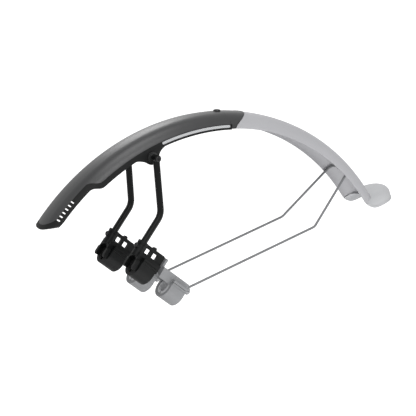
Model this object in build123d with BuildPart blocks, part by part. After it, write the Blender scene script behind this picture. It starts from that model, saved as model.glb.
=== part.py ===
from build123d import *
import math
import os

# Rear bicycle mudguard, in millimetres.
# +X is to the rear, +Z up, and -Y the rider's left.
# The origin lies midway between the two upper clamps, on the axis of the seat stays.

# Wheel axle, seen from the origin
axle_x = 150.4
axle_z = -155.0

# Blade section: a low arch of three arcs, the same along both blades
crown_radius = 370.0
blade_width = 61.0
blade_depth = 23.2
shoulder_radius = 22.6
blade_wall = 2.4

# Front blade, by wheel angle from the rear horizontal
tip_corner_angle = 137.7
tip_length = 28.8
step_low_angle = 125.1
step_high_angle = 129.0
step_rise = 10.9
tongue_edge_angle = 87.2
tongue_length = 38.5
flare_start_angle = 91.0
flare_full_angle = 87.6
flare_rise = 0.6
joint_gap = 0.2
joint_rebate = 0.9
joint_overlap = 8.0
bead_width = 3.2
bead_rise = 0.3

# Vent slots through the rails and the front blade
vent_count = 6
vent_first_angle = 133.35
vent_pitch = 1.03
vent_rise = 16.3
vent_length = 5.8
vent_width = 2.2

# Side rails along the lower edge
rail_height = 6.6
rail_wall = 1.3
rail_lip = 1.3
rail_fit = 0.15
rail_end_angle = 86.9
step_lead = 0.4

# Gusset on the rail, which carries the strut
gusset_angle = 110.9
gusset_drop = 7.8
gusset_boss_radius = 11.3
gusset_wall = 3.5
gusset_front_angle = 116.0
gusset_rear_angle = 105.2
gusset_arc_start = 235.0
gusset_arc_end = 352.0

# Reflective strip, laid in the rail
strip_front_angle = 107.1
strip_rear_angle = 87.4
strip_low = 2.0
strip_high = 5.8
strip_wall = 0.7
strip_fit = 0.1
strip_corner = 1.7

# Joint of the two blades: a tongue under the crown, with a screw and a nut
joint_tongue_width = 26.0
joint_tongue_wall = 2.4
joint_tongue_angle = 92.0
joint_root_angle = 79.0
joint_root_end_angle = 81.8
joint_screw_angle = 88.2
joint_head_radius = 5.6
joint_head_height = 2.9
joint_seat_depth = 0.4
joint_nut_gap = 0.15
joint_end_gap = 0.4

# Rear blade
rear_end_angle = 35.0
rear_corner_radius = 2.5

# Tail flap, from the rear blade's end: an upturned spoon as wide as the blade
flap_flare = 1.5
flap_depth = 13.5
flap_shoulder = 12.5
flap_skirt = 12.0
flap_wall = 2.4
flap_tilt = 18.0
flap_gap = 0.4
flap_lift = 1.2
flap_straight = 10.4
flap_lead = 28.0
flap_root_rise = 0.7
flap_front_reach = -15.3
flap_front_drop = 17.0
flap_low_reach = -7.0
flap_low_drop = 20.9
flap_corner_reach = 18.3
flap_corner_drop = 17.4
flap_tail_reach = 34.0
flap_tail_drop = 13.0
flap_end_drop = 9.0
flap_rim_width = 2.6
flap_rim_rise = 0.5
flap_tongue_width = 14.0
flap_tongue_wall = 2.4
flap_tongue_angle = 40.5
flap_tongue_bond = 0.6
flap_tongue_reach = 10.0

# Wire stay
wire_diameter = 3.8
wire_bend_x = 168.6
wire_bend_z = 178.4
wire_bend_radius = 14.0
wire_bridge_angle = 45.75
wire_bridge_drop = 8.7
wire_bridge_half = 23.0
wire_bridge_bend = 13.0
wire_eye_turn = 265.0
wire_eye_fit = 0.2
wire_eye_lead = 50.0
wire_eye_swerve = 12.0
wire_eye_rise = 1.7

# Bracket that holds the wire under the crown, and its rivets
bracket_width = 14.0
bracket_length = 23.0
bracket_lip = 2.2
bracket_flange = 2.5
bracket_mouth_share = 0.86
bracket_fit = 0.15
rivet_offset = 7.6
rivet_radius = 1.6
rivet_head_radius = 3.2
rivet_head_height = 0.9

# Struts, with a spacer at the gusset
strut_diameter = 10.0
strut_corner_level = 83.3
strut_bend_radius = 24.0
strut_eye_offset = 10.8
strut_eye_radius = 5.4
strut_eye_width = 10.8
strut_head_radius = 3.9
strut_head_height = 1.4
spacer_flange_radius = 8.0
spacer_flange_height = 2.6
spacer_radius = 6.0

# Screws, bolts, nuts and their holes
screw_radius = 2.0
bolt_radius = 2.5
hole_fit = 0.2
head_ratio = 1.9
head_height_ratio = 1.1
socket_ratio = 0.75
socket_depth_share = 0.6
head_round_share = 0.8
nut_ratio = 1.75
nut_height_ratio = 1.6
thread_past_nut = 0.8

# Seat stays and what every clamp has in common
stay_angle = -38.5
stay_radius = 8.0
clamp_offset = 43.0
lower_clamp_shift = 64.5
liner_wall = 3.7
liner_length = 28.0
liner_slit = 4.0
strap_fit = 0.3
strap_wall = 5.0
strap_length = 28.5
strap_leg = 11.0
strap_bead = 1.0
strap_bead_height = 2.4
saddle_fit = 0.2
saddle_side_gap = 0.4
saddle_low = 6.0
rib_low = 11.6
rib_high = 15.2
rib_reach = 18.0

# Upper clamp: saddle, socket for the strut, window plate and fork
upper_saddle_front = 22.6
upper_saddle_rear = 20.2
upper_saddle_top = 19.5
socket_reach = 20.4
socket_radius = 7.2
socket_bottom = 13.0
socket_floor = 16.0
socket_top = 36.0
socket_fit = 0.15
collar_radius = 8.4
collar_height = 4.2
strut_foot_gap = 1.0
plate_wall = 5.0
plate_front = 16.0
upper_plate_foot = 16.0
plate_rear = 24.2
plate_top = 36.3
plate_round = 2.5
window_length = 9.4
window_height = 8.0
window_pitch = 14.6
window_middle = 0.2
window_level = 27.2
window_round = 0.8
knob_radius = 3.2
knob_reach = 1.8
fork_front = 22.6
fork_length = 7.6
fork_top = 8.0
fork_drop = 8.0
fork_inner = 9.0
fork_wall = 5.0
pinch_level = 26.3
pinch_boss_radius = 4.6
pinch_boss_reach = 8.4
pinch_gap = 0.2

# Lower clamp: saddle, thumb tab in front and clevis for the wire behind
lower_saddle_front = 38.0
lower_saddle_rear = 16.0
lower_saddle_top = 22.8
tab_rear = 34.0
tab_top = 35.5
tab_width = 8.0
clevis_reach = 22.6
clevis_level = 14.2
clevis_radius = 5.6
clevis_fit = 0.3
clevis_wall = 3.6

# Sizes that follow from the ones above
half_width = blade_width / 2
edge_radius = crown_radius - blade_depth
gusset_radius = edge_radius - gusset_drop
wire_bridge_radius = crown_radius - wire_bridge_drop
flap_half_width = half_width + flap_flare
shoulder_offset = half_width - shoulder_radius
wire_radius = wire_diameter / 2
strut_radius = strut_diameter / 2
liner_radius = stay_radius + liner_wall
strap_inner = liner_radius + strap_fit
strap_outer = strap_inner + strap_wall
saddle_half = strap_inner - saddle_side_gap
past = 3.0

os.makedirs("parts", exist_ok=True)


def save(part, label):
    """Label a finished piece and write it."""
    part.label = label
    export_step(part, f"parts/{label}.step")


def save_pair(part, label):
    """Write a left-hand piece and its mirror image."""
    save(part, f"left_{label}")
    with BuildPart() as twin:
        mirror(part, about=Plane.XZ)
    save(twin.part, f"right_{label}")


# Directions and planes round the wheel

side_plane = Plane(origin=(axle_x, 0, axle_z), x_dir=(1, 0, 0), z_dir=(0, -1, 0))
axle_axis = Axis((axle_x, 0, axle_z), (0, -1, 0))


def turn(angle):
    """Cosine and sine of an angle in degrees."""
    return math.cos(math.radians(angle)), math.sin(math.radians(angle))


def arc_degrees(length):
    """Wheel angle that a length along the crown spans."""
    return math.degrees(length / crown_radius)


def polar(radius, angle):
    """Point of the side view at a wheel radius and a wheel angle."""
    along, up = turn(angle)
    return (radius * along, radius * up)


def tangent(angle, length):
    """Vector of the side view along the rim, towards larger wheel angles."""
    along, up = turn(angle)
    return (-length * up, length * along)


def rim_point(radius, angle, y=0.0):
    """Point in space at a wheel radius, a wheel angle and a distance from the middle."""
    x, z = polar(radius, angle)
    return (axle_x + x, y, axle_z + z)


def section_plane(angle):
    """Plane through the axle: across the blade, then outwards from the axle."""
    along, up = turn(angle)
    return Plane(origin=(axle_x, 0, axle_z), x_dir=(0, 1, 0), z_dir=(up, 0, -along))


def rim_plane(radius, angle):
    """Plane square to a wheel radius: across the blade, then towards larger angles."""
    along, up = turn(angle)
    return Plane(origin=rim_point(radius, angle), x_dir=(0, 1, 0), z_dir=(along, 0, up))


# Blade section, and the shells and prisms made from it


def arch(half, base, depth, shoulder, mode):
    """Closed arch of three tangent arcs on a base line."""
    inward = half - shoulder
    crown_arc = (half**2 + depth**2 - 2 * half * shoulder) / (2 * (depth - shoulder))
    crown_centre = base + depth - crown_arc
    spring = math.degrees(math.atan2(base - crown_centre, inward))
    with BuildLine() as outline:
        CenterArc((inward, base), shoulder, 0, spring)
        CenterArc((0, crown_centre), crown_arc, spring, 180 - 2 * spring)
        CenterArc((-inward, base), shoulder, 180 - spring, spring)
        Line((-half, base), (half, base))
    make_face(outline.edges(), mode=mode)


def blade_arch(inset, mode=Mode.ADD):
    """The blade's arch, moved inwards by inset."""
    arch(half_width - inset, edge_radius, blade_depth - inset, shoulder_radius - inset, mode)


def channel(outer_inset, inner_inset, start, end, skirt=0.0):
    """Arched shell round the wheel between two wheel angles, with skirts below its edges."""
    with BuildPart() as shell:
        with BuildSketch(section_plane(start)):
            blade_arch(outer_inset)
            if skirt:
                with Locations((0, edge_radius - skirt / 2)):
                    Rectangle(2 * (half_width - outer_inset), skirt)
            blade_arch(inner_inset, mode=Mode.SUBTRACT)
            if skirt:
                with Locations((0, edge_radius - skirt / 2)):
                    Rectangle(2 * (half_width - inner_inset), skirt, mode=Mode.SUBTRACT)
        revolve(axis=axle_axis, revolution_arc=end - start)
    return shell.part


def crown_strip(outer_inset, inner_inset, width, start, end):
    """Narrow strip of the arch along the crown, between two wheel angles."""
    with BuildPart() as strip:
        with BuildSketch(section_plane(start)):
            blade_arch(outer_inset)
            blade_arch(inner_inset, mode=Mode.SUBTRACT)
            with Locations((0, crown_radius)):
                Rectangle(width, 2 * blade_depth, mode=Mode.INTERSECT)
        revolve(axis=axle_axis, revolution_arc=end - start)
    return strip.part


def edge_band(low, high, end_angle, lead=0.0):
    """Prism across the blade: a band that follows its stepped lower edge from low to high."""
    front_angle = tip_corner_angle + arc_degrees(2 * tip_length)

    def follow(rise, ahead):
        start = step_low_angle - ahead
        stop = step_high_angle - ahead
        pull = math.radians(stop - start) * edge_radius / 2
        low_end = Vector(polar(edge_radius + rise, start))
        high_end = Vector(polar(edge_radius + step_rise + rise, stop))
        CenterArc((0, 0), edge_radius + rise, end_angle, start - end_angle)
        Bezier(
            low_end,
            low_end + Vector(tangent(start, pull)),
            high_end - Vector(tangent(stop, pull)),
            high_end,
        )
        CenterArc((0, 0), edge_radius + step_rise + rise, stop, front_angle - stop)

    with BuildPart() as band:
        with BuildSketch(side_plane):
            with BuildLine():
                follow(low, 0.0)
                follow(high, lead)
                Line(polar(edge_radius + low, end_angle), polar(edge_radius + high, end_angle))
                Line(
                    polar(edge_radius + step_rise + low, front_angle),
                    polar(edge_radius + step_rise + high, front_angle),
                )
            make_face()
        extrude(amount=blade_width, both=True)
    return band.part


def end_prism(corner_angle, across, length, direction, mode):
    """Prism square to the rim past corner_angle: a rounded tongue, or all that lies round it."""
    with BuildPart() as prism:
        with BuildSketch(rim_plane(crown_radius, corner_angle)):
            with Locations((0, direction * length)):
                Rectangle(4 * half_width, 2 * length)
            Ellipse(across, length, mode=mode)
        extrude(amount=2 * blade_depth, both=True)
    return prism.part


def left_half(part):
    """The half of a symmetrical piece on the rider's left."""
    with BuildPart() as half:
        add(part)
        split(bisect_by=Plane.XZ, keep=Keep.TOP)
    return half.part


def common(first, second):
    """What two pieces have in common."""
    with BuildPart() as both:
        add(first)
        add(second, mode=Mode.INTERSECT)
    return both.part


def vent_plane(angle, side):
    """Plane on the outer wall at the middle of a vent, square to the wall."""
    lean = math.asin(vent_rise / shoulder_radius)
    along, up = turn(angle)
    across = side * math.cos(lean)
    out = math.sin(lean)
    y = side * (shoulder_offset + shoulder_radius * math.cos(lean))
    return Plane(
        origin=rim_point(edge_radius + vent_rise, angle, y),
        x_dir=(-up, 0, along),
        z_dir=(out * along, across, out * up),
    )


def vent_slots():
    """The vent slots of both sides, as prisms through the wall."""
    with BuildPart() as slots:
        for side in (-1, 1):
            for index in range(vent_count):
                with BuildSketch(vent_plane(vent_first_angle + index * vent_pitch, side)):
                    SlotOverall(vent_length, vent_width, rotation=90)
                extrude(amount=2 * blade_wall, both=True)
    return slots.part


# Fasteners


def button_screw(plane, radius, length, head_radius, head_height):
    """Screw with a domed socket head on the plane and its shank behind it."""
    with BuildPart() as screw:
        with BuildSketch(plane):
            Circle(head_radius)
        extrude(amount=head_height)
        rim = screw.edges().sort_by(Axis(plane.origin, plane.z_dir))[-1]
        fillet(rim, head_round_share * head_height)
        with BuildSketch(plane.offset(head_height)):
            RegularPolygon(socket_ratio * radius, 6)
        extrude(amount=-socket_depth_share * head_height, mode=Mode.SUBTRACT)
        with BuildSketch(plane):
            Circle(radius)
        extrude(amount=-length)
    return screw.part


def hex_nut(plane, radius):
    """Nut that lies on the plane, bored for a screw of the given radius."""
    with BuildPart() as nut:
        with BuildSketch(plane):
            RegularPolygon(nut_ratio * radius, 6)
            Circle(radius + hole_fit / 2, mode=Mode.SUBTRACT)
        extrude(amount=nut_height_ratio * radius)
    return nut.part


# Front blade: one moulded channel, flared at its rear end over the rear blade

tip_half = shoulder_offset + math.sqrt(shoulder_radius**2 - (step_rise - rail_lip) ** 2)
tip_inner_half = shoulder_offset + math.sqrt(shoulder_radius**2 - (step_rise + rail_height) ** 2)
tip_cut = end_prism(tip_corner_angle, tip_half + rail_fit, tip_length, 1, Mode.SUBTRACT)
tip_end_angle = tip_corner_angle + arc_degrees(tip_length + past)
vents = vent_slots()

tongue_across = half_width + flare_rise
tongue_end_angle = tongue_edge_angle - arc_degrees(tongue_length)
wall_tongue = tongue_length - joint_overlap
wall_end_cut = end_prism(tongue_edge_angle, tongue_across, wall_tongue, -1, Mode.SUBTRACT)
flare_end_cut = end_prism(tongue_edge_angle, tongue_across, tongue_length, -1, Mode.SUBTRACT)
bead_inside = end_prism(
    tongue_edge_angle, tongue_across - bead_width, tongue_length - bead_width, -1, Mode.INTERSECT
)
front_shell = channel(0, blade_wall, tongue_end_angle, tip_end_angle)
flare_shell = channel(-flare_rise, blade_wall / 2, tongue_end_angle, flare_full_angle)
collar_inset = joint_rebate - joint_gap
bead_shell = channel(-flare_rise - bead_rise, 0, tongue_end_angle, tongue_edge_angle)
socket_shell = channel(collar_inset, 2 * blade_wall, tongue_end_angle, tongue_edge_angle)
socket_space = common(socket_shell, wall_end_cut)
below_edge = edge_band(-blade_depth, rail_fit, rail_end_angle)


def rail_zone(low, fit):
    """What a rail covers: a band along the lower edge that carries on round the tip."""
    inside = tip_length - rail_height - fit
    with BuildPart() as zone:
        add(edge_band(low, rail_height + fit, rail_end_angle, step_lead))
        add(end_prism(tip_corner_angle, tip_inner_half - fit, inside, 1, Mode.SUBTRACT))
    return zone.part


rail_pocket = common(
    channel(-past, rail_wall + rail_fit, rail_end_angle, tip_end_angle),
    rail_zone(-blade_depth, rail_fit),
)
joint_rise = flare_rise * (flare_start_angle - joint_screw_angle) / (flare_start_angle - flare_full_angle)
joint_seat = crown_radius + joint_rise - joint_seat_depth
joint_plane = rim_plane(joint_seat, joint_screw_angle)

with BuildPart() as end_bead:
    add(bead_shell)
    add(bead_inside, mode=Mode.SUBTRACT)

with BuildPart() as front_blade:
    add(front_shell)
    add(wall_end_cut, mode=Mode.SUBTRACT)
    add(flare_shell)
    for angle, rise in ((flare_full_angle, flare_rise), (flare_start_angle, 0.0)):
        with BuildSketch(section_plane(angle)):
            blade_arch(-rise)
            blade_arch(blade_wall / 2, mode=Mode.SUBTRACT)
    loft(ruled=True)
    add(end_bead.part)
    add(flare_end_cut, mode=Mode.SUBTRACT)
    add(socket_space, mode=Mode.SUBTRACT)
    add(below_edge, mode=Mode.SUBTRACT)
    add(rail_pocket, mode=Mode.SUBTRACT)
    add(tip_cut, mode=Mode.SUBTRACT)
    add(vents, mode=Mode.SUBTRACT)
    with BuildSketch(joint_plane):
        Circle(joint_head_radius + hole_fit)
    extrude(amount=joint_head_height, mode=Mode.SUBTRACT)
    with BuildSketch(joint_plane):
        Circle(screw_radius + hole_fit)
    extrude(amount=-blade_depth / 2, mode=Mode.SUBTRACT)
save(front_blade.part, "front_blade")

# Reflective strips and the side rails they lie in


def strip_body(fit):
    """The left strip, made larger all round by fit."""
    start = strip_rear_angle - arc_degrees(fit)
    end = strip_front_angle + arc_degrees(fit)
    low = edge_radius + strip_low - fit
    high = edge_radius + strip_high + fit
    with BuildPart() as strip:
        with BuildSketch(section_plane(start)):
            blade_arch(-fit)
            blade_arch(strip_wall + fit, mode=Mode.SUBTRACT)
            with Locations((-half_width, (low + high) / 2)):
                Rectangle(half_width, high - low, mode=Mode.INTERSECT)
        revolve(axis=axle_axis, revolution_arc=end - start)
        fillet(strip.edges().filter_by(Axis.Y), strip_corner + fit)
    return strip.part


save_pair(strip_body(0.0), "reflective_strip")

gusset_top = edge_radius - rail_lip / 2
boss_x, boss_z = polar(gusset_radius, gusset_angle)
boss_centre = Vector(boss_x, boss_z)
bolt_plane = Plane(origin=rim_point(gusset_radius, gusset_angle, -half_width), z_dir=(0, -1, 0))
strip_recess = strip_body(strip_fit)
rail_skin = common(
    channel(0, rail_wall, rail_end_angle, tip_end_angle, rail_lip),
    rail_zone(-rail_lip, 0.0),
)
rail_foot = common(
    channel(0, blade_wall, rail_end_angle, tip_end_angle, rail_lip),
    edge_band(-rail_lip, 0, rail_end_angle),
)
below_rail = edge_band(-blade_depth, -rail_lip, rail_end_angle)

with BuildPart() as both_rails:
    add(rail_skin)
    add(rail_foot)
    for side in (-1, 1):
        rear_top = rim_point(edge_radius + rail_height, rail_end_angle, side * half_width)
        fillet(both_rails.edges().filter_by(Axis.Y).sort_by_distance(rear_top)[0], rail_height / 2)
    add(below_rail, mode=Mode.SUBTRACT)
    add(tip_cut, mode=Mode.SUBTRACT)
    add(vents, mode=Mode.SUBTRACT)

with BuildPart() as side_rail:
    add(left_half(both_rails.part))
    with BuildSketch(side_plane.offset(half_width)):
        with BuildLine():
            front_end = Vector(polar(gusset_top, gusset_front_angle))
            rear_end = Vector(polar(gusset_top, gusset_rear_angle))
            span = gusset_arc_end - gusset_arc_start
            CenterArc((0, 0), gusset_top, gusset_rear_angle, gusset_front_angle - gusset_rear_angle)
            boss = CenterArc(boss_centre, gusset_boss_radius, gusset_arc_start, span)
            Spline(front_end, boss @ 0, tangents=(tangent(gusset_front_angle, -1), boss % 0))
            Spline(boss @ 1, rear_end, tangents=(boss % 1, tangent(gusset_rear_angle, -1)))
        make_face()
    extrude(amount=-gusset_wall)
    with BuildSketch(bolt_plane):
        Circle(bolt_radius + hole_fit)
    extrude(amount=-half_width, mode=Mode.SUBTRACT)
    add(strip_recess, mode=Mode.SUBTRACT)
save_pair(side_rail.part, "side_rail")

# Rear blade, with the tongue that the joint screw holds

bridge_level = crown_radius - wire_bridge_radius
bridge_along, bridge_up = turn(wire_bridge_angle)
bracket_plane = Plane(
    origin=rim_point(wire_bridge_radius, wire_bridge_angle),
    x_dir=(bridge_up, 0, -bridge_along),
    z_dir=(0, -1, 0),
)
crown_plane = rim_plane(crown_radius, wire_bridge_angle)
tongue_core = end_prism(tongue_edge_angle, tongue_across, wall_tongue + joint_end_gap, -1, Mode.INTERSECT)
rebate_start = tongue_end_angle - arc_degrees(past)
rebate_reach = tongue_length + joint_end_gap
rebate = common(
    channel(-past, joint_rebate, rebate_start, tongue_edge_angle),
    end_prism(tongue_edge_angle, tongue_across + joint_end_gap, rebate_reach, -1, Mode.INTERSECT),
)
tongue_outer = blade_wall + joint_gap
tongue_inner = tongue_outer + joint_tongue_wall
rear_shell = channel(0, blade_wall, rear_end_angle, tongue_edge_angle)
joint_tongue = crown_strip(
    tongue_outer, tongue_inner, joint_tongue_width, joint_root_angle, joint_tongue_angle
)
joint_root = crown_strip(
    blade_wall - joint_gap, tongue_inner, joint_tongue_width, joint_root_angle, joint_root_end_angle
)

with BuildPart() as rear_side:
    with BuildSketch(side_plane) as rear_outline:
        with BuildLine():
            rear_span = tongue_edge_angle - rear_end_angle
            CenterArc((0, 0), edge_radius, rear_end_angle, rear_span)
            CenterArc((0, 0), crown_radius + past, rear_end_angle, rear_span)
            for angle in (rear_end_angle, tongue_edge_angle):
                Line(polar(edge_radius, angle), polar(crown_radius + past, angle))
        make_face()
        rear_corner = polar(edge_radius, rear_end_angle)
        fillet(rear_outline.vertices().sort_by_distance(rear_corner)[0], rear_corner_radius)
    extrude(amount=blade_width, both=True)

with BuildPart() as rear_blade:
    add(rear_shell)
    add(rear_side.part, mode=Mode.INTERSECT)
    add(tongue_core, mode=Mode.SUBTRACT)
    add(rebate, mode=Mode.SUBTRACT)
    add(joint_tongue)
    add(joint_root)
    with BuildSketch(joint_plane):
        Circle(screw_radius + hole_fit)
    extrude(amount=-blade_depth / 2, mode=Mode.SUBTRACT)
    with BuildSketch(crown_plane):
        with Locations((0, rivet_offset), (0, -rivet_offset)):
            Circle(rivet_radius + hole_fit / 2)
    extrude(amount=-blade_depth / 2, mode=Mode.SUBTRACT)
save(rear_blade.part, "rear_blade")


def flip(plane):
    """The same plane, seen from behind."""
    return Plane(origin=plane.origin, x_dir=plane.x_dir, z_dir=-plane.z_dir)


joint_nut_radius = crown_radius - tongue_inner - joint_nut_gap
joint_nut_plane = flip(rim_plane(joint_nut_radius, joint_screw_angle))
joint_reach = joint_seat - joint_nut_radius + nut_height_ratio * screw_radius + thread_past_nut
joint_screw = button_screw(joint_plane, screw_radius, joint_reach, joint_head_radius, joint_head_height)
save(joint_screw, "joint_screw")
save(hex_nut(joint_nut_plane, screw_radius), "joint_nut")

# Tail flap

flap_along, flap_up = turn(flap_tilt)
flap_seam_angle = rear_end_angle - arc_degrees(flap_gap)
flap_crown = Vector(polar(crown_radius + flap_lift, flap_seam_angle))


def flap_spot(reach, level):
    """Point of the side view along the flap's crown line, and above or below it."""
    return flap_crown + Vector(reach * flap_along - level * flap_up, reach * flap_up + level * flap_along)


def flap_plane(reach):
    """Plane across the flap at a distance along its crown: across, then up."""
    spot = flap_spot(reach, 0.0)
    origin = (axle_x + spot.X, 0, axle_z + spot.Y)
    return Plane(origin=origin, x_dir=(0, 1, 0), z_dir=(flap_along, 0, flap_up))


def flap_arch(inset, mode=Mode.ADD):
    """The flap's section: an arch on straight skirts."""
    half = flap_half_width - inset
    arch(half, -flap_depth, flap_depth - inset, flap_shoulder - inset, mode)
    with Locations((0, -flap_depth - flap_skirt / 2)):
        Rectangle(2 * half, flap_skirt, mode=mode)


def flap_form(inset):
    """Solid form of the flap: a straight arch closed by a half-round end."""
    end_plane = flap_plane(flap_straight)
    with BuildPart() as form:
        with BuildSketch(flap_plane(-flap_lead)):
            flap_arch(inset)
        extrude(amount=flap_lead + flap_straight)
        with BuildSketch(end_plane):
            flap_arch(inset)
            with Locations((-flap_half_width, 0)):
                Rectangle(2 * flap_half_width, 4 * flap_depth, mode=Mode.INTERSECT)
        revolve(axis=Axis(end_plane.origin, end_plane.y_dir), revolution_arc=180)
    return form.part


def flap_keep(rise):
    """Prism across the flap above its lower edge, with that edge raised by rise."""
    reach = flap_straight + 2 * flap_half_width
    with BuildPart() as keep:
        with BuildSketch(side_plane):
            with BuildLine():
                root = Vector(polar(edge_radius + flap_root_rise + rise, flap_seam_angle))
                top = Vector(polar(crown_radius + flap_depth, flap_seam_angle))
                end = flap_crown + Vector(reach, rise - flap_end_drop)
                Spline(
                    root,
                    flap_crown + Vector(flap_front_reach, rise - flap_front_drop),
                    flap_crown + Vector(flap_low_reach, rise - flap_low_drop),
                    flap_crown + Vector(flap_corner_reach, rise - flap_corner_drop),
                    flap_crown + Vector(flap_tail_reach, rise - flap_tail_drop),
                    end,
                )
                Polyline(end, flap_crown + Vector(reach, flap_depth), top, root)
            make_face()
        extrude(amount=2 * flap_half_width, both=True)
    return keep.part


flap_hollow = flap_form(flap_wall)
flap_body = common(flap_form(0.0), flap_keep(0.0))
flap_rim = common(flap_form(-flap_rim_rise), flap_keep(0.0))
flap_inside_rim = flap_keep(flap_rim_width)
bond_radius = crown_radius - blade_wall - flap_tongue_bond
blade_clear_angle = flap_tongue_angle + arc_degrees(past)
blade_clear = channel(-past, blade_wall + bracket_fit, flap_seam_angle, blade_clear_angle)

with BuildPart() as rim_band:
    add(flap_rim)
    add(flap_inside_rim, mode=Mode.SUBTRACT)

with BuildPart() as flap_tongue:
    with BuildSketch(side_plane):
        with BuildLine():
            tongue_span = flap_tongue_angle - flap_seam_angle
            low_radius = bond_radius - flap_tongue_wall
            CenterArc((0, 0), bond_radius, flap_seam_angle, tongue_span)
            CenterArc((0, 0), low_radius, flap_seam_angle, tongue_span)
            Line(polar(bond_radius, flap_tongue_angle), polar(low_radius, flap_tongue_angle))
            Polyline(
                polar(bond_radius, flap_seam_angle),
                flap_spot(flap_tongue_wall, -flap_wall / 2),
                flap_spot(flap_tongue_reach, -flap_wall / 2),
                flap_spot(flap_tongue_reach, -flap_wall - flap_tongue_wall / 2),
                polar(low_radius, flap_seam_angle),
            )
        make_face()
    extrude(amount=flap_tongue_width / 2, both=True)
    add(blade_clear, mode=Mode.SUBTRACT)

with BuildPart() as tail_flap:
    add(flap_body)
    add(rim_band.part)
    add(flap_hollow, mode=Mode.SUBTRACT)
    add(flap_tongue.part)
save(tail_flap.part, "tail_flap")

# Stay bracket under the crown, its rivets and the wire stay

flange_level = bridge_level - blade_wall - bracket_fit - bracket_flange
hub_radius = wire_radius + bracket_lip
arch_space_angle = arc_degrees(bracket_length)

with BuildPart() as arch_space:
    with BuildSketch(section_plane(wire_bridge_angle - arch_space_angle)):
        blade_arch(blade_wall + bracket_fit)
    revolve(axis=axle_axis, revolution_arc=2 * arch_space_angle)

with BuildPart() as stay_bracket:
    with BuildSketch(bracket_plane):
        with Locations((0, (flange_level + bridge_level) / 2)):
            Rectangle(bracket_length, bridge_level - flange_level)
        with Locations((0, bridge_level / 2)):
            Rectangle(2 * hub_radius, bridge_level)
        Circle(hub_radius)
        Circle(wire_radius + bracket_fit, mode=Mode.SUBTRACT)
        with Locations((0, -hub_radius)):
            Rectangle(bracket_mouth_share * wire_diameter, 2 * hub_radius, mode=Mode.SUBTRACT)
    extrude(amount=bracket_width / 2, both=True)
    add(arch_space.part, mode=Mode.INTERSECT)
    with BuildSketch(crown_plane):
        with Locations((0, rivet_offset), (0, -rivet_offset)):
            Circle(rivet_radius + hole_fit / 2)
    extrude(amount=-blade_depth / 2, mode=Mode.SUBTRACT)
save(stay_bracket.part, "stay_bracket")

rivet_grip = bridge_level - flange_level

with BuildPart() as bracket_rivets:
    with BuildSketch(crown_plane):
        with Locations((0, rivet_offset), (0, -rivet_offset)):
            Circle(rivet_radius)
    extrude(amount=-rivet_grip)
    for level, height in ((0.0, rivet_head_height), (-rivet_grip, -rivet_head_height)):
        with BuildSketch(crown_plane.offset(level)):
            with Locations((0, rivet_offset), (0, -rivet_offset)):
                Circle(rivet_head_radius)
        extrude(amount=height)
    rivet_axis = Axis(crown_plane.origin, crown_plane.z_dir)
    fillet(bracket_rivets.edges().group_by(rivet_axis)[-1], rivet_head_height / 2)
save(bracket_rivets.part, "bracket_rivets")

stay_along, stay_up = turn(stay_angle)
outboard = (0, -1, 0)


def clamp_point(along, up):
    """Point over the left seat stay, along the stay and square to it."""
    return (along * stay_along - up * stay_up, -clamp_offset, along * stay_up + up * stay_along)


eye_centre = Vector(*clamp_point(lower_clamp_shift + clevis_reach, clevis_level))
eye_radius = screw_radius + wire_eye_fit + wire_radius
wire_bend = Vector(axle_x + wire_bend_x, -clamp_offset, axle_z + wire_bend_z)
wire_run = wire_bend - eye_centre
eye_lean = math.degrees(math.atan2(wire_run.Z, wire_run.X)) + wire_eye_lead
eye_along, eye_up = turn(eye_lean)
wire_root = eye_centre + wire_run.normalized() * wire_eye_swerve + Vector(0, 0, wire_eye_rise)
wire_lead = (wire_bend - wire_root).normalized()


def eye_point(angle):
    """Point of the wire's left eye at an angle of the side view."""
    along, up = turn(angle)
    return eye_centre + Vector(eye_radius * along, 0, eye_radius * up)


def opposite(point):
    """The same point on the rider's right."""
    return Vector(point.X, -point.Y, point.Z)


wire_corner = Vector(*rim_point(wire_bridge_radius, wire_bridge_angle, -wire_bridge_half))
eye_end = eye_point(eye_lean + wire_eye_turn)
eye_middle = eye_point(eye_lean + wire_eye_turn / 2)
eye_start = eye_point(eye_lean)
eye_leave = Vector(eye_up, 0, -eye_along)

with BuildPart() as wire_stay:
    with BuildLine() as wire_path:
        ThreePointArc(eye_end, eye_middle, eye_start)
        Spline(eye_start, wire_root, tangents=(eye_leave, wire_lead))
        FilletPolyline(
            wire_root,
            wire_bend,
            wire_corner,
            opposite(wire_corner),
            opposite(wire_bend),
            opposite(wire_root),
            radius=[wire_bend_radius, wire_bridge_bend, wire_bridge_bend, wire_bend_radius],
        )
        Spline(
            opposite(wire_root),
            opposite(eye_start),
            tangents=(opposite(-wire_lead), opposite(-eye_leave)),
        )
        ThreePointArc(opposite(eye_start), opposite(eye_middle), opposite(eye_end))
    with BuildSketch(wire_path.line ^ 0):
        Circle(wire_radius)
    sweep(path=wire_path.line)
save(wire_stay.part, "wire_stay")

# Struts, with the spacer, bolt and nut at the gusset

eye_middle = half_width + strut_eye_offset
eye_outer = eye_middle + strut_eye_width / 2
eye_inner = eye_middle - strut_eye_width / 2
gusset_inner = half_width - gusset_wall
strut_eye = Vector(*rim_point(gusset_radius, gusset_angle, -eye_middle))
strut_corner = Vector(*clamp_point(-socket_reach, strut_corner_level))
strut_foot = Vector(*clamp_point(-socket_reach, socket_floor + strut_foot_gap))

with BuildPart() as strut:
    with BuildLine() as strut_path:
        FilletPolyline(strut_eye, strut_corner, strut_foot, radius=strut_bend_radius)
    with BuildSketch(strut_path.line ^ 0):
        Circle(strut_radius)
    sweep(path=strut_path.line)
    with BuildSketch(bolt_plane.offset(eye_inner - half_width)):
        Circle(strut_eye_radius)
    extrude(amount=strut_eye_width)
    with BuildSketch(bolt_plane):
        Circle(bolt_radius + hole_fit)
    extrude(amount=eye_outer, mode=Mode.SUBTRACT)
save_pair(strut.part, "strut")

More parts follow.
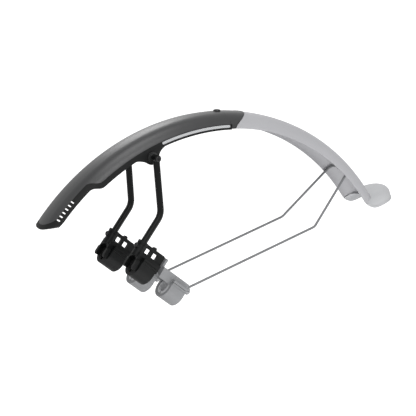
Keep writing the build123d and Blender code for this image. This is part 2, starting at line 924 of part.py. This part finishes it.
with BuildPart() as spacer:
    with BuildSketch(bolt_plane):
        Circle(spacer_flange_radius)
    extrude(amount=spacer_flange_height)
    with BuildSketch(bolt_plane):
        Circle(spacer_radius)
    extrude(amount=eye_inner - half_width)
    with BuildSketch(bolt_plane):
        Circle(bolt_radius + hole_fit)
    extrude(amount=eye_outer, mode=Mode.SUBTRACT)
save_pair(spacer.part, "strut_spacer")

bolt_reach = eye_outer - gusset_inner + nut_height_ratio * bolt_radius + thread_past_nut
strut_bolt = button_screw(
    bolt_plane.offset(eye_outer - half_width),
    bolt_radius,
    bolt_reach,
    strut_head_radius,
    strut_head_height,
)
save_pair(strut_bolt, "strut_bolt")
save_pair(hex_nut(flip(bolt_plane.offset(-gusset_wall)), bolt_radius), "strut_nut")

# What the upper and the lower clamps have in common


def clamp_plane(shift):
    """Side plane of a left clamp: along the seat stay, then square to it."""
    origin = clamp_point(shift, 0.0)
    return Plane(origin=origin, x_dir=(stay_along, 0, stay_up), z_dir=outboard)


def cross_plane(shift):
    """Plane across the left seat stay: to the right, then square to the stay."""
    origin = clamp_point(shift, 0.0)
    return Plane(origin=origin, x_dir=(0, 1, 0), z_dir=(stay_along, 0, stay_up))


def clamp_liner(shift):
    """Soft ring round the seat stay, slit below."""
    with BuildPart() as liner:
        with BuildSketch(cross_plane(shift - liner_length / 2)):
            Circle(liner_radius)
            Circle(stay_radius, mode=Mode.SUBTRACT)
            with Locations((0, -liner_radius)):
                Rectangle(liner_slit, liner_radius, mode=Mode.SUBTRACT)
        extrude(amount=liner_length)
    return liner.part


def clamp_strap(shift):
    """U-shaped strap from below, with a bead along the top of each leg."""
    with BuildPart() as strap:
        with BuildSketch(cross_plane(shift - strap_length / 2)):
            Circle(strap_outer)
            with Locations((0, strap_leg / 2)):
                Rectangle(2 * strap_outer, strap_leg)
            with Locations((0, strap_leg - strap_bead_height / 2)):
                Rectangle(2 * (strap_outer + strap_bead), strap_bead_height)
            Circle(strap_inner, mode=Mode.SUBTRACT)
            with Locations((0, strap_outer)):
                Rectangle(2 * strap_inner, 2 * strap_outer, mode=Mode.SUBTRACT)
            with Locations((0, strap_leg + strap_outer)):
                Rectangle(4 * strap_outer, 2 * strap_outer, mode=Mode.SUBTRACT)
        extrude(amount=strap_length)
    return strap.part


def clamp_saddle(shift, front, rear, top):
    """Saddle over the liner, with a rib above each leg of the strap."""
    with BuildPart() as saddle:
        with BuildSketch(cross_plane(shift - front)):
            with Locations((0, (saddle_low + top) / 2)):
                Rectangle(2 * saddle_half, top - saddle_low)
            Circle(liner_radius + saddle_fit, mode=Mode.SUBTRACT)
        extrude(amount=front + rear)
        with BuildSketch(cross_plane(shift - strap_length / 2)):
            with Locations((0, (rib_low + rib_high) / 2)):
                Rectangle(2 * rib_reach, rib_high - rib_low)
            Circle(liner_radius + saddle_fit, mode=Mode.SUBTRACT)
        extrude(amount=strap_length)
    return saddle.part


save_pair(clamp_liner(0.0), "upper_clamp_liner")
save_pair(clamp_strap(0.0), "upper_clamp_strap")
save_pair(clamp_liner(lower_clamp_shift), "lower_clamp_liner")
save_pair(clamp_strap(lower_clamp_shift), "lower_clamp_strap")

# Upper clamp body: the strut's socket in front, a plate with two windows behind, a fork below

upper_side = clamp_plane(0.0)
socket_plane = Plane(
    origin=clamp_point(-socket_reach, 0.0),
    x_dir=(0, 1, 0),
    z_dir=(-stay_up, 0, stay_along),
)
pinch_plane = Plane(
    origin=clamp_point(-socket_reach - pinch_boss_reach, pinch_level),
    x_dir=(0, 1, 0),
    z_dir=(-stay_along, 0, -stay_up),
)
upper_saddle = clamp_saddle(0.0, upper_saddle_front, upper_saddle_rear, upper_saddle_top)

with BuildPart() as upper_body:
    add(upper_saddle)
    with BuildSketch(socket_plane.offset(socket_bottom)):
        Circle(socket_radius)
    extrude(amount=socket_top - socket_bottom)
    with BuildSketch(socket_plane.offset(socket_top - collar_height)):
        Circle(collar_radius)
    extrude(amount=collar_height)
    with BuildSketch(upper_side):
        with Locations(((plate_rear - plate_front) / 2, (upper_plate_foot + plate_top) / 2)):
            RectangleRounded(plate_front + plate_rear, plate_top - upper_plate_foot, plate_round)
        with Locations((knob_reach, plate_top)):
            Circle(knob_radius)
        for step in (-1, 1):
            with Locations((window_middle + step * window_pitch / 2, window_level)):
                RectangleRounded(window_length, window_height, window_round, mode=Mode.SUBTRACT)
    extrude(amount=plate_wall / 2, both=True)
    for side in (-1, 1):
        with BuildSketch(upper_side.offset(side * (fork_inner + fork_wall / 2))):
            with Locations((fork_length / 2 - fork_front, (fork_top - fork_drop) / 2)):
                SlotOverall(fork_top + fork_drop, fork_length, rotation=90)
        extrude(amount=fork_wall / 2, both=True)
    with BuildSketch(pinch_plane):
        Circle(pinch_boss_radius)
    extrude(amount=-pinch_boss_reach)
    with BuildSketch(socket_plane.offset(socket_floor)):
        Circle(strut_radius + socket_fit)
    extrude(amount=socket_top, mode=Mode.SUBTRACT)
    with BuildSketch(pinch_plane):
        Circle(screw_radius + hole_fit / 2)
    extrude(amount=-pinch_boss_reach, mode=Mode.SUBTRACT)
save_pair(upper_body.part, "upper_clamp_body")

pinch_screw = button_screw(
    pinch_plane,
    screw_radius,
    pinch_boss_reach - strut_radius - pinch_gap,
    head_ratio * screw_radius,
    head_height_ratio * screw_radius,
)
save_pair(pinch_screw, "pinch_screw")

# Lower clamp body: a thumb tab in front and the clevis for the wire's eye behind

lower_side = clamp_plane(lower_clamp_shift)
lower_saddle = clamp_saddle(lower_clamp_shift, lower_saddle_front, lower_saddle_rear, lower_saddle_top)
clevis_inner = wire_radius + clevis_fit
clevis_outer = clevis_inner + clevis_wall

with BuildPart() as lower_body:
    add(lower_saddle)
    with BuildSketch(lower_side):
        with Locations((-(lower_saddle_front + tab_rear) / 2, (rib_high + tab_top) / 2)):
            Rectangle(lower_saddle_front - tab_rear, tab_top - rib_high)
    extrude(amount=tab_width / 2, both=True)
    for side in (-1, 1):
        with BuildSketch(lower_side.offset(side * (clevis_inner + clevis_outer) / 2)):
            with Locations((clevis_reach, clevis_level)):
                Circle(clevis_radius)
            with Locations((clevis_reach - clevis_radius, clevis_level)):
                Rectangle(2 * clevis_radius, 2 * clevis_radius)
            with Locations((clevis_reach, clevis_level)):
                Circle(screw_radius + hole_fit, mode=Mode.SUBTRACT)
        extrude(amount=clevis_wall / 2, both=True)
    with BuildSketch(cross_plane(lower_clamp_shift - liner_length / 2)):
        Circle(liner_radius + saddle_fit)
    extrude(amount=liner_length + saddle_fit, mode=Mode.SUBTRACT)
save_pair(lower_body.part, "lower_clamp_body")

eye_plane = Plane(origin=eye_centre, z_dir=outboard)
eye_screw_reach = 2 * clevis_outer + nut_height_ratio * screw_radius + thread_past_nut
eye_screw = button_screw(
    eye_plane.offset(clevis_outer),
    screw_radius,
    eye_screw_reach,
    head_ratio * screw_radius,
    head_height_ratio * screw_radius,
)
save_pair(eye_screw, "eye_screw")
save_pair(hex_nut(flip(eye_plane.offset(-clevis_outer)), screw_radius), "eye_nut")
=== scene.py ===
import math

import bpy
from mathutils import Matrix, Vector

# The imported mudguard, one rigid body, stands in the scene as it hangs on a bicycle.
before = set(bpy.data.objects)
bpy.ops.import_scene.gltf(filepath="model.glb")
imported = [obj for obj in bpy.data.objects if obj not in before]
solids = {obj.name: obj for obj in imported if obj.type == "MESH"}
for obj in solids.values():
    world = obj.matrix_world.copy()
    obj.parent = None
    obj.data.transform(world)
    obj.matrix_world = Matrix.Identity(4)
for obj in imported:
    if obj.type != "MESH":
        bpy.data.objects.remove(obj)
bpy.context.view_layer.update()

# Front blade: one moulded channel of impact-modified polypropylene, dark grey.
# Its tool was spark-eroded to a fine satin, so broad light lies softly along the crown.
MM = 0.001
CLOUD_SIZE = 60 * MM
MIX_SHARE, MIX_FIRST, MIX_SECOND, MIX_RESULT = 0, 6, 7, 2


def linear(hex_colour):
    """Linear red, green, blue and alpha of an sRGB hex colour."""
    parts = [int(hex_colour[i:i + 2], 16) / 255 for i in (1, 3, 5)]
    return tuple(c / 12.92 if c <= 0.04045 else ((c + 0.055) / 1.055) ** 2.4 for c in parts) + (1.0,)


def put(tree, kind, settings=None, **links):
    """Add a node: settings name its sockets or properties, links feed its sockets."""
    made = tree.nodes.new(kind)
    for name, value in (settings or {}).items():
        if name in made.inputs:
            made.inputs[name].default_value = value
        else:
            setattr(made, name, value)
    for name, source in links.items():
        tree.links.new(source, made.inputs[name.replace("_", " ")])
    return made


def start(name, base, roughness):
    """A named material with one principled shader: its tree, that shader and its coordinates."""
    finish = bpy.data.materials.new(name)
    finish.use_nodes = True
    tree = finish.node_tree
    shader = tree.nodes["Principled BSDF"]
    shader.inputs["Base Color"].default_value = linear(base)
    shader.inputs["Roughness"].default_value = roughness
    place = put(tree, "ShaderNodeTexCoord").outputs["Object"]
    return finish, tree, shader, place


def between(tree, share, dark, light):
    """A colour that goes from a dark to a light one with a share."""
    blend = put(tree, "ShaderNodeMix", {"data_type": "RGBA"})
    blend.inputs[MIX_FIRST].default_value = linear(dark)
    blend.inputs[MIX_SECOND].default_value = linear(light)
    tree.links.new(share, blend.inputs[MIX_SHARE])
    return blend.outputs[MIX_RESULT]


def moulded(name, dark, light, roughness, grain_mm, depth_mm, spread, specular=0.5, metallic=0.0):
    """A finish that is cloudy between two close colours, with a fine eroded grain."""
    finish, tree, shader, place = start(name, dark, roughness)
    shader.inputs["Specular IOR Level"].default_value = specular
    shader.inputs["Metallic"].default_value = metallic
    cloud = put(tree, "ShaderNodeTexNoise", {"Scale": 1 / CLOUD_SIZE, "Detail": 3.0}, Vector=place)
    colour = between(tree, cloud.outputs["Fac"], dark, light)
    tree.links.new(colour, shader.inputs["Base Color"])
    grain = put(tree, "ShaderNodeTexNoise", {"Scale": 1 / (grain_mm * MM), "Detail": 2.0}, Vector=place)
    gloss = put(
        tree,
        "ShaderNodeMapRange",
        {"To Min": roughness - spread, "To Max": roughness + spread},
        Value=grain.outputs["Fac"],
    )
    tree.links.new(gloss.outputs["Result"], shader.inputs["Roughness"])
    bump = put(
        tree,
        "ShaderNodeBump",
        {"Strength": 1.0, "Distance": depth_mm * MM},
        Height=grain.outputs["Fac"],
    )
    tree.links.new(bump.outputs["Normal"], shader.inputs["Normal"])
    return finish


def dress(finish, *nodes):
    """Give a finish to CAD pieces."""
    for name in nodes:
        mesh = solids[name].data
        mesh.materials.clear()
        mesh.materials.append(finish)


def pair(name):
    """The left and the right piece of a name."""
    return f"left_{name}", f"right_{name}"


dark_polypropylene = moulded(
    "dark_polypropylene", "#131416", "#18191b",
    roughness=0.40, grain_mm=1.6, depth_mm=0.03, spread=0.05, specular=0.66,
)
dress(dark_polypropylene, "front_blade")

# Side rails: soft black thermoplastic elastomer, pressed over the blade's lower edges.
# Softer than the blade, they are matt and swallow most of the light.
black_elastomer = moulded(
    "black_elastomer", "#0f1010", "#151616",
    roughness=0.55, grain_mm=1.2, depth_mm=0.015, spread=0.06, specular=0.18,
)
dress(black_elastomer, *pair("side_rail"))

# Reflective strips: pale film over micro-prisms, laid in the rails.
# The prisms stand in slanting rows, drawn coarse enough here to show as a faint twill.
PRISM_PITCH = 2.4 * MM
PRISM_DEPTH = 0.05 * MM
PRISM_SLANT = math.radians(52)
WAVE_RADIANS = 20

prismatic_film, tree, shader, place = start("prismatic_film", "#c9cacc", roughness=0.3)
slant = put(tree, "ShaderNodeMapping", {"Rotation": (0.0, PRISM_SLANT, 0.0)}, Vector=place)
rows = put(
    tree,
    "ShaderNodeTexWave",
    {"Scale": 2 * math.pi / (WAVE_RADIANS * PRISM_PITCH), "bands_direction": "X"},
    Vector=slant.outputs["Vector"],
)
colour = between(tree, rows.outputs["Fac"], "#9c9ea0", "#b8b9bb")
tree.links.new(colour, shader.inputs["Base Color"])
ridge = put(tree, "ShaderNodeBump", {"Distance": PRISM_DEPTH}, Height=rows.outputs["Fac"])
tree.links.new(ridge.outputs["Normal"], shader.inputs["Normal"])
dress(prismatic_film, *pair("reflective_strip"))

# Joint screw and nut: blackened steel, which holds the front blade on the rear blade's tongue.
# Dip-blackened steel is dark and faintly glossy.
blackened_steel = moulded(
    "blackened_steel", "#242425", "#2d2d2e",
    roughness=0.32, grain_mm=0.8, depth_mm=0.004, spread=0.06, metallic=0.6,
)
dress(blackened_steel, "joint_screw", "joint_nut")

# Rear blade: the same moulded channel in pale grey, with the tail flap bonded under its end.
# Pale satin polypropylene lets the soft light wash over it with little contrast.
# The flap's elastomer is a shade lighter and duller.
pale_polypropylene = moulded(
    "pale_polypropylene", "#9c9c9f", "#a2a2a5",
    roughness=0.5, grain_mm=1.6, depth_mm=0.01, spread=0.05,
)
dress(pale_polypropylene, "rear_blade")
pale_elastomer = moulded(
    "pale_elastomer", "#a6a7a9", "#acadaf",
    roughness=0.55, grain_mm=1.4, depth_mm=0.012, spread=0.05,
)
dress(pale_elastomer, "tail_flap")

# Stay bracket, rivets and wire stay: a nylon clip under the crown holds one bent wire.
# The wire is drawn steel under a grey coat, so it has a dull sheen along its length.
# The rivets are bare aluminium, two bright dots on the blade.
pale_nylon = moulded(
    "pale_nylon", "#9d9ea0", "#a6a7a9",
    roughness=0.5, grain_mm=1.0, depth_mm=0.01, spread=0.05,
)
dress(pale_nylon, "stay_bracket")
pale_aluminium = moulded(
    "pale_aluminium", "#c2c3c5", "#cbccce",
    roughness=0.35, grain_mm=0.6, depth_mm=0.004, spread=0.05, metallic=0.8,
)
dress(pale_aluminium, "bracket_rivets")
grey_coated_steel = moulded(
    "grey_coated_steel", "#656668", "#6d6e70",
    roughness=0.42, grain_mm=0.9, depth_mm=0.008, spread=0.05,
)
dress(grey_coated_steel, "wire_stay")

# Struts, spacers and bolts: bent aluminium rod under a satin black coat, bolted to the rails.
# The coat keeps a soft highlight along the rod.
# The nylon spacer between rod and rail is greyer, its colour lifted partly as painted highlight for the
# light caught on its edge.
black_powder_coat = moulded(
    "black_powder_coat", "#0a0b0b", "#0f1010",
    roughness=0.26, grain_mm=0.9, depth_mm=0.006, spread=0.05, specular=0.18,
)
dress(black_powder_coat, *pair("strut"))
# Painted highlight: the spacer's colour is set a shade lighter than the other blacks to stand in for
# the light on its edge and ring.
black_nylon_with_painted_highlight = moulded(
    "black_nylon_with_painted_highlight", "#222323", "#292a2a",
    roughness=0.32, grain_mm=0.9, depth_mm=0.012, spread=0.06,
)
dress(black_nylon_with_painted_highlight, *pair("strut_spacer"))
dress(blackened_steel, *pair("strut_bolt"), *pair("strut_nut"))

# Upper clamps: glass-filled nylon bodies over a rubber liner, closed from below by a strap.
# The fill makes the nylon's surface dry; the acetal strap is a little greyer.
# The rubber is dead matt, so the bore reads as a dark hollow.
black_filled_nylon = moulded(
    "black_filled_nylon", "#0a0b0b", "#101111",
    roughness=0.45, grain_mm=1.0, depth_mm=0.02, spread=0.07, specular=0.15,
)
dress(black_filled_nylon, *pair("upper_clamp_body"))
black_acetal = moulded(
    "black_acetal", "#0d0e0e", "#131414",
    roughness=0.5, grain_mm=1.0, depth_mm=0.02, spread=0.06, specular=0.15,
)
dress(black_acetal, *pair("upper_clamp_strap"))
black_rubber = moulded(
    "black_rubber", "#0c0c0c", "#121212",
    roughness=0.7, grain_mm=1.2, depth_mm=0.03, spread=0.06, specular=0.2,
)
dress(black_rubber, *pair("upper_clamp_liner"))
dress(blackened_steel, *pair("pinch_screw"))

# Lower clamps: the same kind of clamp in pale grey, with a clevis that takes the wire's eye.
# Pale filled nylon and acetal look chalky and darker than the blade.
# The liner's pale rubber is lifted to the palest piece as painted light that brightens the shade in its
# bore, and the eye's screw and nut have a thin steel sheen.
pale_filled_nylon = moulded(
    "pale_filled_nylon", "#757678", "#7e7f81",
    roughness=0.52, grain_mm=1.0, depth_mm=0.02, spread=0.07,
)
dress(pale_filled_nylon, *pair("lower_clamp_body"))
pale_acetal = moulded(
    "pale_acetal", "#747577", "#7d7e80",
    roughness=0.58, grain_mm=1.0, depth_mm=0.02, spread=0.06,
)
dress(pale_acetal, *pair("lower_clamp_strap"))
# Painted light: the liner's colour is raised so that its shaded bore reads pale.
pale_rubber_with_painted_light = moulded(
    "pale_rubber_with_painted_light", "#b0b1b3", "#b8b9bb",
    roughness=0.7, grain_mm=1.2, depth_mm=0.03, spread=0.06,
)
dress(pale_rubber_with_painted_light, *pair("lower_clamp_liner"))
pale_steel = moulded(
    "pale_steel", "#8a8b8d", "#949597",
    roughness=0.4, grain_mm=0.8, depth_mm=0.004, spread=0.05,
)
dress(pale_steel, *pair("eye_screw"), *pair("eye_nut"))

# Ground: white paper where the wheel would stand, half a metre under the axis of the clamps.
# It is well below the mudguard, so the shadow lies soft and far under it.
GROUND_LEVEL = -0.505
GROUND_SIZE = 40.0
GROUND_GLOW = 0.6
WHITE = (1.0, 1.0, 1.0, 1.0)

bpy.ops.object.select_all(action="DESELECT")
bpy.ops.mesh.primitive_plane_add(size=GROUND_SIZE, location=(0, 0, GROUND_LEVEL))
ground = bpy.context.object
ground.name = "ground"
white_paper, tree, shader, place = start("white_paper", "#f4f4f4", roughness=0.9)
sight = put(tree, "ShaderNodeLightPath")
glow = put(tree, "ShaderNodeMath", {"operation": "MULTIPLY"})
tree.links.new(sight.outputs["Is Camera Ray"], glow.inputs[0])
glow.inputs[1].default_value = GROUND_GLOW
shader.inputs["Emission Color"].default_value = WHITE
tree.links.new(glow.outputs["Value"], shader.inputs["Emission Strength"])
ground.data.materials.append(white_paper)

# Room: white to the eye and in reflections, and a lower plain light on the object.
# What the camera, a glossy surface or a clear one looks at is white at strength 1.
ROOM_LIGHT = 0.7
ROOM_SEEN = 1.0

world = bpy.data.worlds.new("white_room")
bpy.context.scene.world = world
world.use_nodes = True
tree = world.node_tree
room = tree.nodes["Background"]
room.inputs["Color"].default_value = WHITE
sight = put(tree, "ShaderNodeLightPath")
seen = put(tree, "ShaderNodeMath", {"operation": "MAXIMUM"})
tree.links.new(sight.outputs["Is Camera Ray"], seen.inputs[0])
tree.links.new(sight.outputs["Is Glossy Ray"], seen.inputs[1])
through = put(tree, "ShaderNodeMath", {"operation": "MAXIMUM"})
tree.links.new(seen.outputs["Value"], through.inputs[0])
tree.links.new(sight.outputs["Is Transmission Ray"], through.inputs[1])
level = put(
    tree,
    "ShaderNodeMapRange",
    {"To Min": ROOM_LIGHT, "To Max": ROOM_SEEN},
    Value=through.outputs["Value"],
)
tree.links.new(level.outputs["Result"], room.inputs["Strength"])

# Lamps: the rim lamp, behind and above, draws the bright line along the crown.
# The overhead and front lamps lay the broad band on the near wall, and the left one lifts the tip.
# The bounce lamp stands for light thrown up by the ground, into the channel of the rear blade.
MIDDLE = (0.147, 0.0, 0.066)
TAIL = (0.35, 0.0, 0.1)


def look_at(stand, place, aim):
    """Put a lamp or a camera at a place, turned to a point, and into the scene."""
    stand.location = place
    stand.rotation_euler = (Vector(aim) - Vector(place)).to_track_quat("-Z", "Y").to_euler()
    bpy.context.scene.collection.objects.link(stand)


def lamp(name, size, power, place, aim=MIDDLE):
    """A square soft lamp that looks at a point."""
    light = bpy.data.lights.new(name, "AREA")
    light.shape = "SQUARE"
    light.size = size
    light.energy = power
    look_at(bpy.data.objects.new(name, light), place, aim)


lamp("rim", size=0.7, power=7.0, place=(0.5, 1.5, 1.3))
lamp("overhead", size=0.9, power=10.0, place=(-0.05, -0.6, 1.95))
lamp("front", size=0.8, power=9.0, place=(0.1, -1.6, 1.2))
lamp("left", size=0.8, power=3.5, place=(-0.9, -1.5, 0.8))
lamp("bounce", size=1.2, power=6.5, place=(0.35, -0.2, -0.48), aim=TAIL)

# View: the photograph's own, from the front left and a little above.
# Its place and lens were fitted to the outline of the mudguard in the photograph.
CAMERA_PLACE = (-0.9826, -1.7263, 0.5230)
CAMERA_AIM = (0.1463, 0.0003, 0.0665)
CAMERA_LENS = 119.41
CAMERA_SENSOR = 36.0

eye = bpy.data.cameras.new("photograph")
eye.lens = CAMERA_LENS
eye.sensor_width = CAMERA_SENSOR
camera = bpy.data.objects.new("photograph", eye)
look_at(camera, CAMERA_PLACE, CAMERA_AIM)
bpy.context.scene.camera = camera
bpy.context.scene.view_settings.view_transform = "Standard"
